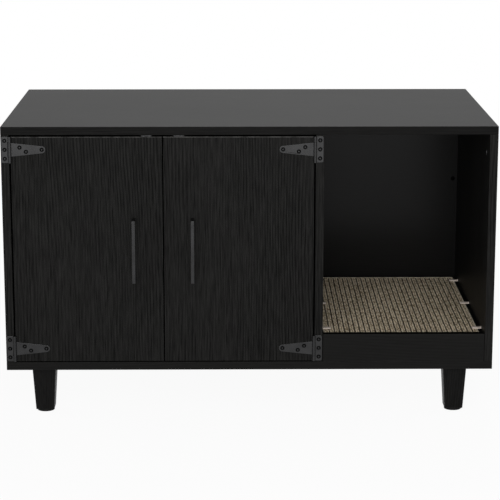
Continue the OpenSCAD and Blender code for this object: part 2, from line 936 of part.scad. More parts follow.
module leaf_outline() {
    translate([leaf_corner - leaf_w, -leaf_h / 2])
        square([leaf_w - leaf_corner - plate_start, leaf_h]);
    translate([-leaf_w, leaf_corner - leaf_h / 2])
        square([leaf_w - plate_start, leaf_h - 2 * leaf_corner]);
    for (end = [-1, 1])
        translate([leaf_corner - leaf_w, end * (leaf_h / 2 - leaf_corner)])
            circle(r = leaf_corner);
}

module hinge_leaf(side, level) {
    color(hinge_colour)
        at_hinge(side, level)
            difference() {
                union() {
                    on_face(hinge_t)
                        leaf_outline();
                    knuckle(-leaf_h / 2, leaf_h / 2);
                }
                pin_bore();
                post(
                    0, 0, -strap_root_h / 2, strap_root_h / 2,
                    knuckle_d + 2 * knuckle_fit
                );
                plate_screw_holes(leaf_screws);
            }
}

module leaf_left_top() {
    hinge_leaf(0, 0);
}

module leaf_left_bottom() {
    hinge_leaf(0, 1);
}

module leaf_right_top() {
    hinge_leaf(1, 0);
}

module leaf_right_bottom() {
    hinge_leaf(1, 1);
}

module leaf_screws_all() {
    color(screw_colour)
        for (side = [0, 1])
            for (level = [0, 1])
                at_hinge(side, level)
                    plate_screws(leaf_screws);
}

module hinge_pins() {
    color(hinge_colour)
        for (side = [0, 1])
            for (level = [0, 1])
                at_hinge(side, level)
                    post(0, 0, -leaf_h / 2, leaf_h / 2, hinge_pin_d);
}

// The strap's straight sides run from the barrel to touch the round of its tip
module strap_outline() {
    tip_turn = 90 + strap_lean;
    polygon(concat(
        [[plate_start, -strap_plate_half], [plate_start, strap_plate_half]],
        [for (k = [0:tip_steps]) let (a = tip_turn - 2 * tip_turn * k / tip_steps)
            [strap_tip_x + strap_tip_r * cos(a), strap_tip_r * sin(a)]]
    ));
}

module hinge_strap(side, level) {
    color(hinge_colour)
        at_hinge(side, level)
            difference() {
                union() {
                    on_face(hinge_t)
                        strap_outline();
                    knuckle(-strap_root_half, strap_root_half);
                }
                pin_bore();
                plate_screw_holes(strap_screws);
            }
}

module strap_screw_set(side) {
    color(screw_colour)
        for (level = [0, 1])
            at_hinge(side, level)
                plate_screws(strap_screws);
}

module left_strap_top() {
    hinge_strap(0, 0);
}

module left_strap_bottom() {
    hinge_strap(0, 1);
}

module right_strap_top() {
    hinge_strap(1, 0);
}

module right_strap_bottom() {
    hinge_strap(1, 1);
}

module left_strap_screws() {
    strap_screw_set(0);
}

module right_strap_screws() {
    strap_screw_set(1);
}

// Doors, made for the left and mirrored about the gap between them for the right

module on_door(side) {
    translate([door_gap_x, 0, 0])
        mirror([side, 0, 0])
            children();
}

// The screws at the two ends of a handle, on the inside of the door
module at_handle_screws() {
    for (end = [-1, 1])
        into_back(-handle_offset, door_back_y, handle_z + end * handle_screw_z)
            children();
}

module door_panel(side) {
    color(board_colour)
        difference() {
            on_door(side)
                difference() {
                    translate([-door_gap / 2 - door_w, front_y, door_z])
                        cube([door_w, door_t, door_h]);
                    at_handle_screws()
                        screw_hole(handle_screw_d, door_t + past, handle_screw_d, 0);
                    into_back(-catch_offset, strike_y, strike_screw_z)
                        screw_hole(catch_screw_d, catch_screw_l, catch_screw_d, 0);
                }
            for (level = [0, 1])
                at_hinge(side, level)
                    for (s = strap_screws)
                        into_front(s[0], knuckle_d / 2 - hinge_t, s[1])
                            screw_hole(hinge_screw_d, hinge_screw_l, hinge_screw_d, 0);
        }
}

module left_door_panel() {
    door_panel(0);
}

module right_door_panel() {
    door_panel(1);
}

// A square bar bent at both ends to meet the door, with a threaded hole in each end
module handle(side) {
    color(handle_colour)
        on_door(side)
            difference() {
                translate([
                    -handle_offset - handle_w / 2,
                    front_y - handle_projection,
                    handle_z - handle_l / 2,
                ])
                    cube([handle_w, handle_projection, handle_l]);
                translate([
                    -handle_offset - handle_w / 2 - past,
                    front_y - handle_projection + handle_bar,
                    handle_z - handle_l / 2 + handle_bar,
                ])
                    cube([handle_w + 2 * past, handle_projection, handle_l - 2 * handle_bar]);
                at_handle_screws()
                    screw_hole(handle_screw_d, door_t + handle_screw_in, handle_screw_d, 0);
            }
}

module handle_screws(side) {
    color(screw_colour)
        on_door(side)
            at_handle_screws()
                screw(handle_screw_d, door_t + handle_screw_in, handle_screw_head_d, handle_screw_dome, 0);
}

module left_handle() {
    handle(0);
}

module right_handle() {
    handle(1);
}

module left_handle_screws() {
    handle_screws(0);
}

module right_handle_screws() {
    handle_screws(1);
}

// Catches

// A steel strap bent over the door's top edge, with one screw in the door's back
module strike_plate(side) {
    color(zinc_colour)
        on_door(side)
            difference() {
                translate([-catch_offset - strike_w / 2, 0, 0])
                    union() {
                        translate([0, door_back_y - strike_top_l, door_top_z])
                            cube([strike_w, strike_top_l + strike_t, strike_t]);
                        translate([0, door_back_y, door_top_z - strike_back_h])
                            cube([strike_w, strike_t, strike_back_h]);
                    }
                into_back(-catch_offset, strike_y, strike_screw_z)
                    screw_hole(catch_screw_d, catch_screw_l, catch_screw_d, 0);
            }
}

module strike_screw(side) {
    color(screw_colour)
        on_door(side)
            into_back(-catch_offset, strike_y, strike_screw_z)
                screw(catch_screw_d, catch_screw_l, catch_screw_head_d, hinge_screw_dome, 0);
}

module left_strike_plate() {
    strike_plate(0);
}

module right_strike_plate() {
    strike_plate(1);
}

module left_strike_screw() {
    strike_screw(0);
}

module right_strike_screw() {
    strike_screw(1);
}

module at_catches() {
    for (side = [-1, 1])
        translate([door_gap_x + side * catch_offset, catch_y, ceiling_z])
            children();
}

module at_catch_screws() {
    for (end = [-1, 1])
        translate([end * catch_screw_x, catch_d / 2, -catch_wall])
            mirror([0, 0, 1])
                children();
}

module catch_housings() {
    color(plastic_colour)
        at_catches()
            difference() {
                union() {
                    translate([-catch_flange_w / 2, 0, -catch_wall])
                        cube([catch_flange_w, catch_d, catch_wall]);
                    translate([-catch_w / 2, 0, -catch_h])
                        cube([catch_w, catch_d, catch_h]);
                }
                translate([catch_wall - catch_w / 2, -past, catch_wall - catch_h])
                    cube([catch_w - 2 * catch_wall, catch_d - catch_wall + past, catch_h - 2 * catch_wall]);
                at_catch_screws()
                    screw_hole(catch_screw_d, catch_screw_l, catch_screw_d, 0);
            }
}

// The magnet fills the pocket in its housing and looks out at the strike plate
module catch_magnets() {
    color(zinc_colour)
        at_catches()
            translate([catch_wall + fit - catch_w / 2, 0, catch_wall + fit - catch_h])
                cube([
                    catch_w - 2 * catch_wall - 2 * fit,
                    catch_d - catch_wall - fit,
                    catch_h - 2 * catch_wall - 2 * fit,
                ]);
}

module catch_screws() {
    color(screw_colour)
        at_catches()
            at_catch_screws()
                screw(catch_screw_d, catch_screw_l, catch_screw_head_d, hinge_screw_dome, 0);
}

top_panel();
bottom_panel();
left_side_panel();
right_side_panel();
divider_panel();
cupboard_back();
entrance_back();
back_blocks();
back_screws();
fascia_board();
left_cleat();
right_cleat();
cleat_screws();
platform_board();
scratch_mat();
mat_pegs();
leg_front_left();
leg_front_right();
leg_back_left();
leg_back_right();
leg_bolts();
insert_nuts();
foot_glides();
cam_locks();
cam_bolts();
dowels();
leaf_left_top();
leaf_left_bottom();
leaf_right_top();
leaf_right_bottom();
leaf_screws_all();
hinge_pins();
catch_housings();
catch_magnets();
catch_screws();
left_door_panel();
left_strap_top();
left_strap_bottom();
left_strap_screws();
left_handle();
left_handle_screws();
left_strike_plate();
left_strike_screw();
right_door_panel();
right_strap_top();
right_strap_bottom();
right_strap_screws();
right_handle();
right_handle_screws();
right_strike_plate();
right_strike_screw();
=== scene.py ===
# %% [markdown]
# # A cabinet table with a cupboard and an entrance bay
# The object is a low cabinet on four tapered legs. Two doors on strap hinges close the cupboard at the left,
# and an open bay with a ribbed mat is at the right. Every board, hinge, screw and leg already stands in the
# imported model, in metres, with its front facing -Y and the floor at Z 0. This script loads that model as a
# fixed frame and gives each piece the edges, the relief and the finish that a photograph shows.

# %% Load the frame
import json
import math
import bmesh
import bpy
import numpy as np
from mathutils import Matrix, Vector, noise


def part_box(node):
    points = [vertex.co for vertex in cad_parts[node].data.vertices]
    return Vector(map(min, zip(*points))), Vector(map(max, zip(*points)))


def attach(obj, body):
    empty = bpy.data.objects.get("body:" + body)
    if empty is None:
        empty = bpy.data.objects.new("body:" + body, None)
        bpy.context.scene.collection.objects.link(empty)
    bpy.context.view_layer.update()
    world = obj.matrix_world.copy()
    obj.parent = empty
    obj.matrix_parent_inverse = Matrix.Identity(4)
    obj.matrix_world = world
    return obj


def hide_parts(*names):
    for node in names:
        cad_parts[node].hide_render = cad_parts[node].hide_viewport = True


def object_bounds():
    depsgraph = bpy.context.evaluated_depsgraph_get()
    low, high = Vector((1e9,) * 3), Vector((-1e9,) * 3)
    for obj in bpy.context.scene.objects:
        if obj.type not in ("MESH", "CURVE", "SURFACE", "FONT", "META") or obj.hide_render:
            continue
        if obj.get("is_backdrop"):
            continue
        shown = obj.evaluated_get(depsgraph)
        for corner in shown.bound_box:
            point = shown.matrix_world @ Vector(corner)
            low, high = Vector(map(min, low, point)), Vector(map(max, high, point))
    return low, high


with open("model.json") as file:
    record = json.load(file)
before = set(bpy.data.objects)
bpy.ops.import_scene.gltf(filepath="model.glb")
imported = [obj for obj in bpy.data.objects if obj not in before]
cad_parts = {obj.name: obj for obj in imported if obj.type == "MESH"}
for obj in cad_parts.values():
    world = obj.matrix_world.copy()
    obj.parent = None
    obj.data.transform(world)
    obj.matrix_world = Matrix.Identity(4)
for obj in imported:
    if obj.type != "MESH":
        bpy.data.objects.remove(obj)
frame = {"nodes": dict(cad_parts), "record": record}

cad_low, cad_high = [list(corner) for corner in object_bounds()]
mm = 0.001

# %% [markdown]
# ## Camera
# The picture was taken from in front, well back and a little above the table top, with a long lens. The
# place, the two angles and the lens below come from fitting a pinhole camera to the eight corners of the
# body. They are entered as plain values, so the framing doesn't depend on anything else in the scene.

# %% Place the camera
camera_place = (-0.0314, -3.6188, 1.0723)
camera_down = 12.613
camera_right = 0.541
camera_lens, sensor_width = 136.5, 36
camera_data = bpy.data.cameras.new("photo_camera")
camera_data.sensor_width = sensor_width
camera_data.lens = camera_lens
camera = bpy.data.objects.new("photo_camera", camera_data)
camera.location = camera_place
camera.rotation_euler = (math.radians(90 - camera_down), 0, math.radians(-camera_right))
bpy.context.scene.collection.objects.link(camera)
bpy.context.scene.camera = camera
bpy.context.scene.view_settings.view_transform = "Standard"
print("the camera stands", round(cad_low[1] - camera_place[1], 2), "m in front of the cabinet")

# %% [markdown]
# ## Nodes by name
# Materials are built from many small shader nodes. A few short helpers keep those lines readable. The first
# fills a node's inputs with values or with the outputs of other nodes, and the second adds a node and fills
# it. The others read what a mesh stores, do one step of arithmetic, mix two colours, and stretch a range of
# values to another range. A mix of colours has its share in socket 0 and its colours in sockets 6 and 7.

# %% Helpers for shader nodes
def fill(tree, node, inputs):
    """Fills inputs of a node, by name or number, with values or with the outputs of other nodes."""
    for key, value in inputs.items():
        if isinstance(value, bpy.types.NodeSocket):
            tree.links.new(value, node.inputs[key])
        else:
            node.inputs[key].default_value = value


def add(tree, kind, inputs=None, **settings):
    """Adds a shader node, and fills the inputs that are named or numbered in a dictionary."""
    node = tree.nodes.new(kind)
    for key, value in settings.items():
        setattr(node, key, value)
    fill(tree, node, inputs or {})
    return node


def stored(tree, name):
    """The value that a mesh stores under a name, and 0 where it stores none."""
    return add(tree, "ShaderNodeAttribute", attribute_name=name).outputs["Fac"]


def maths(tree, operation, a, b=0.0, c=0.0):
    """The result of one step of arithmetic on two or three values."""
    return add(tree, "ShaderNodeMath", {0: a, 1: b, 2: c}, operation=operation).outputs[0]


def blend_colours(tree, share, a, b):
    """A colour between a and b, each of them three numbers or an output."""
    a, b = (end if isinstance(end, bpy.types.NodeSocket) else (*end, 1) for end in (a, b))
    return add(tree, "ShaderNodeMix", {0: share, 6: a, 7: b}, data_type="RGBA").outputs[2]


def spread(tree, value, low, high, to_low=0.0, to_high=1.0):
    """Stretches the part of a value between low and high to the range from to_low to to_high."""
    inputs = {0: value, 1: low, 2: high, 3: to_low, 4: to_high}
    return add(tree, "ShaderNodeMapRange", inputs).outputs[0]


print("shader helpers are ready")

# %% [markdown]
# ## Studio
# A product picture of a black cabinet is lit from the front by large soft lamps, in front of a white sweep.
# Two stand low, close to the camera's own direction, so that their light reaches the back of the bay and
# leaves almost no shadow beside the handles. A weak one higher up lights the mat, and the front edge of the
# table top shades only the last of it. Three more stand at the sides and behind, out of the picture, so that
# the sides and the back can be seen from there. The one behind stands high, because the table top would
# mirror a low one. The white sweep matters for more than the background: the satin boards mirror it at a
# shallow angle, which is why the black table top looks grey. The sky is therefore white to the camera and in
# reflections, while the light that it throws stays at a low level.

# %% Light the studio
white = (1, 1, 1, 1)
sky_level = 0.22
lamp_aim = Vector((0, 0, 0.3))
lamps = {
    "key_lamp": ((-0.7, -4.1, 1.25), 2.4, 73),
    "fill_lamp": ((1.3, -3.8, 1.0), 2.0, 27),
    "high_lamp": ((0.3, -2.9, 2.4), 1.4, 15),
    "left_lamp": ((-4.2, 1.6, 1.6), 2.4, 46),
    "right_lamp": ((4.2, 1.6, 1.6), 2.4, 46),
    "back_lamp": ((0.4, 3.4, 4.2), 1.6, 44),
}


def seen_directly(tree):
    """1 where the camera, a reflection or a refraction looks at a surface, and 0 where light only bounces."""
    path = add(tree, "ShaderNodeLightPath")
    either = maths(tree, "MAXIMUM", path.outputs["Is Camera Ray"], path.outputs["Is Glossy Ray"])
    return maths(tree, "MAXIMUM", either, path.outputs["Is Transmission Ray"])


world = bpy.data.worlds.new("studio")
bpy.context.scene.world = world
world.use_nodes = True
tree = world.node_tree
strength = spread(tree, seen_directly(tree), 0, 1, sky_level, 1)
fill(tree, tree.nodes["Background"], {"Color": white, "Strength": strength})

for name, (place, size, power) in lamps.items():
    lamp_data = bpy.data.lights.new(name, "AREA")
    lamp_data.shape = "SQUARE"
    lamp_data.size = size
    lamp_data.energy = power
    lamp = bpy.data.objects.new(name, lamp_data)
    lamp.location = place
    lamp.rotation_euler = (lamp_aim - lamp.location).to_track_quat("-Z", "Y").to_euler()
    bpy.context.scene.collection.objects.link(lamp)
print(len(lamps), "soft lamps and a white sky light the cabinet")

# %% [markdown]
# The floor is one wide plane. To the camera its material is mostly plain white light, with the diffuse
# surface mixed in, so that the object keeps a soft shadow under it. Away from the object the share of plain
# white rises to the whole, as on a paper sweep that is lit on its own, and the background ends up white.

# %% Lay the floor
floor_half = 40
paper_white = (0.93, 0.93, 0.93, 1)
glow_near = 0.94
near_reach, far_reach = 0.7, 1.9
bpy.ops.object.select_all(action="DESELECT")
bpy.ops.mesh.primitive_plane_add(size=2 * floor_half)
floor = bpy.context.object
floor.name = "floor"
sweep = bpy.data.materials.new("white_sweep")
sweep.use_nodes = True
tree = sweep.node_tree
tree.nodes.clear()
paper = add(tree, "ShaderNodeBsdfDiffuse", {"Color": paper_white})
glow = add(tree, "ShaderNodeEmission", {"Color": white, "Strength": 1.0})
spot = add(tree, "ShaderNodeTexCoord").outputs["Object"]
away = add(tree, "ShaderNodeVectorMath", {0: spot}, operation="LENGTH").outputs["Value"]
glow_here = spread(tree, away, near_reach, far_reach, glow_near, 1)
share = maths(tree, "MULTIPLY", seen_directly(tree), glow_here)
floor_mix = add(tree, "ShaderNodeMixShader", {0: share, 1: paper.outputs[0], 2: glow.outputs[0]})
add(tree, "ShaderNodeOutputMaterial", {"Surface": floor_mix.outputs[0]})
floor.data.materials.append(sweep)
floor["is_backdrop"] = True
print("the floor reaches", floor_half, "m each way")

# %% [markdown]
# ## Wood grain as a shared effect
# The boards are faced with a film that has a wood pattern printed and lightly pressed into it. It has three
# sizes of detail: dark growth lines 6 mm apart that sway and bend into long arches, narrow streaks along the
# grain, and short pores. The lines are a wave across the board, pushed aside by a slow noise, and a second
# slow noise lets them fade in some zones. Two places come in: one squeezed to about a quarter along the grain
# for the slow shapes, and one squeezed much more for the streaks and pores.

# %% Build the grain group
sway_blobs, zone_blobs, streak_blobs, pore_blobs = 4.5, 9, 600, 800
line_sharpness, line_faded = 2.6, 0.25
streak_height, line_height = 0.3, -0.8


def new_group(name, vectors, numbers, outputs):
    """A shader node group with vectors and numbers in and numbers out, and its two end nodes."""
    group = bpy.data.node_groups.new(name, "ShaderNodeTree")
    sockets = [(socket, "INPUT", "NodeSocketVector") for socket in vectors]
    sockets += [(socket, "INPUT", "NodeSocketFloat") for socket in numbers]
    sockets += [(socket, "OUTPUT", "NodeSocketFloat") for socket in outputs]
    for socket, side, kind in sockets:
        group.interface.new_socket(socket, in_out=side, socket_type=kind)
    return group, group.nodes.new("NodeGroupInput").outputs, group.nodes.new("NodeGroupOutput")


def blobs(tree, place, scale, detail, rough=0.55):
    """Noise on a place, with about scale blobs in a metre."""
    inputs = {"Vector": place, "Scale": scale, "Detail": detail, "Roughness": rough}
    return add(tree, "ShaderNodeTexNoise", inputs).outputs["Fac"]


grain_group, given, result = new_group(
    "wood_grain",
    ["Slow place", "Fibre place"],
    ["Across", "Lines", "Sway", "Figure", "Streaks", "Pores"],
    ["Tone", "Height"],
)
slow, fibre_place = given["Slow place"], given["Fibre place"]
pushed = maths(grain_group, "MULTIPLY", blobs(grain_group, slow, sway_blobs, 2.5, 0.45), given["Sway"])
rings = maths(grain_group, "MULTIPLY_ADD", given["Across"], given["Lines"], pushed)
wave = maths(grain_group, "COSINE", maths(grain_group, "MULTIPLY", rings, 2 * math.pi))
line = maths(grain_group, "POWER", spread(grain_group, wave, -1, 1), line_sharpness)
zone = spread(grain_group, blobs(grain_group, slow, zone_blobs, 1), 0.36, 0.6, line_faded, 1)
line = maths(grain_group, "MULTIPLY", line, zone)
streak = spread(grain_group, blobs(grain_group, fibre_place, streak_blobs, 2, 0.6), 0.3, 0.7, -1, 1)
pore = spread(grain_group, blobs(grain_group, fibre_place, pore_blobs, 1), 0.55, 0.7)
tone = maths(grain_group, "MULTIPLY", streak, given["Streaks"])
tone = maths(grain_group, "SUBTRACT", tone, maths(grain_group, "MULTIPLY", line, given["Figure"]))
tone = maths(grain_group, "SUBTRACT", tone, maths(grain_group, "MULTIPLY", pore, given["Pores"]))
relief = maths(grain_group, "MULTIPLY", line, line_height)
relief = maths(grain_group, "MULTIPLY_ADD", streak, streak_height, relief)
relief = maths(grain_group, "SUBTRACT", relief, pore)
fill(grain_group, result, {"Tone": tone, "Height": relief})
print("the grain group has", len(grain_group.nodes), "nodes")

# %% [markdown]
# Metal, paint and plastic are never even either. Handling leaves faint smudges, the surface has a fine
# texture, and the rounded edges are made lighter: partly wear of the finish, and partly a painted highlight
# where an edge would catch the light. One group gives these as masks, so that each material decides what they
# change. The edges come in as a number that is stored on the faces of a bevel.

# %% Build the wear and edge highlight group
speck_blobs, edge_patch_blobs = 900, 55
wear_highlight_group, given, result = new_group(
    "handling_wear_and_edge_highlight", ["Place"], ["Bevel", "Smudge size"], ["Smudges", "Specks", "Edges"],
)
smudges = blobs(wear_highlight_group, given["Place"], given["Smudge size"], 4, 0.6)
specks = blobs(wear_highlight_group, given["Place"], speck_blobs, 2, 0.5)
edge_patches = spread(wear_highlight_group, blobs(wear_highlight_group, given["Place"], edge_patch_blobs, 3, 0.6), 0.35, 0.65, 0.2, 1)
# The Edges mask lightens the bevel faces: partly wear, partly a painted highlight.
fill(wear_highlight_group, result, {
    "Smudges": spread(wear_highlight_group, smudges, 0.3, 0.7),
    "Specks": spread(wear_highlight_group, specks, 0.35, 0.65),
    "Edges": maths(wear_highlight_group, "MULTIPLY", edge_patches, given["Bevel"]),
})
print("the wear group has", len(wear_highlight_group.nodes), "nodes")

# %% [markdown]
# Every material begins the same way: with its shader, the place on the piece, and the wear and painted
# highlight of its bevels.
# Noise that is stretched along an axis comes from a place that is squeezed along that axis.

# %% Helpers for materials
along_x, along_y, along_z = 0, 1, 2
plain_smudge = 30.0


def new_material(name):
    """An empty material with its node tree, its shader and the place on the piece."""
    material = bpy.data.materials.new(name)
    material.use_nodes = True
    tree = material.node_tree
    place = add(tree, "ShaderNodeTexCoord").outputs["Object"]
    return material, tree, tree.nodes["Principled BSDF"], place


def wear_highlight_on(tree, place, smudge=plain_smudge):
    """The masks of the wear and highlight group, with the bevels of the piece as its edges."""
    inputs = {"Place": place, "Bevel": stored(tree, "edge_wear_and_highlight"), "Smudge size": smudge}
    return add(tree, "ShaderNodeGroup", inputs, node_tree=wear_highlight_group).outputs


def squeezed(tree, place, along, squeeze, shift=(0, 0, 0)):
    """A place that is squeezed along one axis and shifted."""
    scale = [1.0] * 3
    scale[along] = squeeze
    return add(tree, "ShaderNodeMapping", {"Vector": place, "Scale": scale, "Location": shift}).outputs[0]


print("material helpers are ready")

# %% [markdown]
# ## Board films
# The film is nearly black and satin. Two things make such a surface: a very dark base whose tone follows the
# grain, and a weak gloss. The gloss is set low on the shader's own socket, because a film with the gloss of
# varnish would turn the front grey. The pattern is pressed in by a few hundredths of a millimetre, which the
# bump shows. The same recipe serves all boards, with the grain along a named axis. The table top has a duller
# and flatter film, as worktops do, and the back panels a smoother one that mirrors the light at the opening.

# %% Make the board films
slow_squeeze, fibre_squeeze = 0.28, 0.04
sway, figure, streaks = 11.0, 0.8, 0.6
lightest_streak = 0.8


def wood_film(name, along, dark, light, edge, gloss, roughness, lines=178.0, pores=0.4, relief=0.04,
              shift=(0, 0, 0)):
    """A wood-patterned surface whose grain runs along one axis, with its relief in millimetres."""
    material, tree, shader, place = new_material(name)
    across = [float(axis != along) for axis in range(3)]
    sideways = add(tree, "ShaderNodeVectorMath", {0: place, 1: across}, operation="DOT_PRODUCT")
    inputs = {
        "Slow place": squeezed(tree, place, along, slow_squeeze, shift),
        "Fibre place": squeezed(tree, place, along, fibre_squeeze, shift),
        "Across": sideways.outputs["Value"],
        "Lines": lines, "Sway": sway, "Figure": figure, "Streaks": streaks, "Pores": pores,
    }
    grain = add(tree, "ShaderNodeGroup", inputs, node_tree=grain_group).outputs
    tone = spread(tree, grain["Tone"], -figure - pores / 2, streaks * lightest_streak)
    colour = blend_colours(tree, tone, dark, light)
    bump = add(tree, "ShaderNodeBump", {"Height": grain["Height"], "Distance": relief * mm})
    # The bevels take the edge colour, which is a painted highlight.
    fill(tree, shader, {
        "Base Color": blend_colours(tree, wear_highlight_on(tree, place)["Edges"], colour, edge),
        "Roughness": spread(tree, tone, 0, 1, *roughness),
        "Normal": bump.outputs[0],
        "Specular IOR Level": gloss,
    })
    return material


film_dark, film_light = (0.0008, 0.0008, 0.0007), (0.0142, 0.0139, 0.0133)
# The lighter edge colours of the films go on their bevels: a painted highlight along the edges of the boards
# and legs.
film_edge_highlight = (0.07, 0.0685, 0.066)
upright_film = wood_film("upright_film", along_z, film_dark, film_light, film_edge_highlight, 0.045, (0.5, 0.44))
level_film = wood_film("level_film", along_x, (0.008, 0.0079, 0.0076), (0.0114, 0.0112, 0.0108), film_edge_highlight,
                       0.025, (0.5, 0.44), relief=0.02, shift=(0.3, 0.7, 0.2))
top_film = wood_film("top_film", along_x, (0.003, 0.0029, 0.0028), (0.0075, 0.0073, 0.007), film_edge_highlight,
                     0.039, (0.44, 0.42), relief=0.008, shift=(0.6, 0.2, 0.9))
fascia_top_dark = wood_film("fascia_top_dark", along_x, (0.001, 0.001, 0.001), (0.0022, 0.0021, 0.002), film_light,
                      0.01, (0.5, 0.44), relief=0.01, shift=(0.1, 0.4, 0.7))
back_film = wood_film("back_film", along_x, (0.0048, 0.0047, 0.0045), (0.007, 0.0068, 0.0066), film_edge_highlight,
                      0.108, (0.25, 0.22), relief=0.008, shift=(0.9, 0.1, 0.6))
cleat_wood = wood_film("cleat_wood", along_y, film_dark, film_light, film_edge_highlight, 0.1, (0.6, 0.5), pores=0.8)
leg_paint = wood_film("leg_paint", along_z, (0.0026, 0.0025, 0.0024), (0.0088, 0.0086, 0.0083),
                      (0.02, 0.0196, 0.019), 0.05, (0.44, 0.4), lines=220.0, shift=(0.4, 0.5, 0.1))
beech = wood_film("beech", along_z, (0.42, 0.28, 0.14), (0.62, 0.45, 0.26), (0.6, 0.44, 0.25),
                  0.4, (0.7, 0.6))
print("films and woods:", len(bpy.data.materials) - 1)

# %% [markdown]
# ## Metals and plastics
# The hinges and handles are steel with a thin dark coat, which mirrors softly and has almost no colour of its
# own. Their screws are blacker, with a lighter middle painted in as the highlight of each dome, so each one
# reads as a dark ring round a small glint. Bolts and nuts are bare zinc, and the faces of the cam locks are
# blackened. Each has smudges in its gloss and slightly brighter edges, partly wear and partly a painted
# highlight.

# %% Make the metals and plastics
smudge_shade, countersink_shadow_share = 0.75, 0.2


def handled_finish(name, colour, edge, metallic, roughness, texture=0.0, smudge=plain_smudge, gloss=0.5):
    """A metal or plastic with smudges, edges lightened by wear and painted highlight, painted ring shadows and
    a fine texture in millimetres.
    """
    material, tree, shader, place = new_material(name)
    wear = wear_highlight_on(tree, place, smudge)
    smudged, ring_shadow_colour = ([value * shade for value in colour] for shade in (smudge_shade, countersink_shadow_share))
    base = blend_colours(tree, wear["Smudges"], smudged, colour)
    # Faces marked round a countersink are painted much darker: a painted shadow round each screw head.
    base = blend_colours(tree, stored(tree, "painted_ring_shadow"), base, ring_shadow_colour)
    # The bevel faces take the lighter edge colour: partly wear, partly a painted highlight.
    fill(tree, shader, {
        "Base Color": blend_colours(tree, wear["Edges"], base, edge),
        "Roughness": spread(tree, wear["Smudges"], 0, 1, *roughness),
        "Metallic": metallic,
        "Specular IOR Level": gloss,
    })
    if texture:
        bump = add(tree, "ShaderNodeBump", {"Height": wear["Specks"], "Distance": texture * mm})
        fill(tree, shader, {"Normal": bump.outputs[0]})
    return material


hinge_coat = handled_finish("hinge_coat", (0.034, 0.034, 0.0345), (0.05, 0.05, 0.051), 1, (0.34, 0.44), 0.02)
screw_coat = handled_finish("screw_coat", (0.0035, 0.0035, 0.0035), (0.01, 0.01, 0.01), 1, (0.3, 0.4),
                            smudge=200)
handle_coat = handled_finish("handle_coat", (0.036, 0.036, 0.0365), (0.045, 0.045, 0.046), 1, (0.26, 0.34),
                             0.004)
zinc = handled_finish("zinc", (0.58, 0.58, 0.59), (0.78, 0.78, 0.78), 1, (0.26, 0.42), 0.01, 120)
black_zinc = handled_finish("black_zinc", (0.002, 0.002, 0.002), (0.02, 0.02, 0.02), 1, (0.4, 0.5), 0.01, 120)
worn_steel = handled_finish("worn_steel", (0.09, 0.09, 0.092), (0.14, 0.14, 0.14), 1, (0.32, 0.46), 0.01, 120)
bare_steel = handled_finish("bare_steel", (0.19, 0.19, 0.193), (0.28, 0.28, 0.28), 1, (0.4, 0.5), 0.01, 120)
magnet_black = handled_finish("magnet_black", (0.045, 0.044, 0.043), (0.1, 0.1, 0.1), 0.4, (0.5, 0.7), 0.03)
black_plastic = handled_finish("black_plastic", (0.003, 0.003, 0.003), (0.008, 0.008, 0.008), 0, (0.42, 0.55),
                               0.03, gloss=0.1)
peg_plastic = handled_finish("peg_plastic", (0.78, 0.68, 0.6), (0.86, 0.77, 0.69), 0, (0.32, 0.45), 0.01, 60)
print("there are", len(bpy.data.materials), "materials so far")

# %% [markdown]
# ## Skins and bevels
# The imported nodes have sharp edges and are made of loose triangles. A real board, plate or peg has its edges
# broken, and that thin round is what catches the light. So most pieces are shown by a copy of their node: the
# copy is merged into one skin, its flat faces are made whole, and chosen edges are bevelled. The bores,
# grooves and recesses of the node stay in the copy. The faces that a bevel makes are marked, for the wear and
# the painted highlight of the edges.
# Smooth shading would let a thin bevel tilt the light over a whole board, so the shading follows the areas:
# large flat faces stay flat, and only the bevels between them turn the light.

# %% Helpers for skins and bevels
merge_reach = 0.001 * mm
flat_angle = math.radians(0.4)


def pick_only(piece):
    """Selects one object and nothing else, because an operator acts on all that is selected."""
    bpy.ops.object.select_all(action="DESELECT")
    piece.select_set(True)
    bpy.context.view_layer.objects.active = piece


def dress(piece, body, material, nodes, smooth_angle=32):
    """Gives a finished mesh its material, its shading and its body, and hides the nodes that it stands for."""
    if material:
        piece.data.materials.clear()
        piece.data.materials.append(material)
    pick_only(piece)
    bpy.ops.object.shade_smooth_by_angle(angle=math.radians(smooth_angle))
    by_area = piece.modifiers.new("shading_by_area", "WEIGHTED_NORMAL")
    by_area.keep_sharp = True
    bpy.ops.object.modifier_apply(modifier=by_area.name)
    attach(piece, body)
    if nodes:
        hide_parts(*nodes)


def skin_of(node, name):
    """A new piece with a node's shape: one skin, with its flat faces whole."""
    piece = bpy.data.objects.new(name, frame["nodes"][node].data.copy())
    bpy.context.scene.collection.objects.link(piece)
    pick_only(piece)
    if piece.data.has_custom_normals:
        bpy.ops.mesh.customdata_custom_splitnormals_clear()
    bpy.ops.object.mode_set(mode="EDIT")
    bpy.ops.mesh.select_all(action="SELECT")
    bpy.ops.mesh.remove_doubles(threshold=merge_reach)
    bpy.ops.mesh.dissolve_limited(angle_limit=flat_angle, delimit={"NORMAL"})
    bpy.ops.object.mode_set(mode="OBJECT")
    return piece


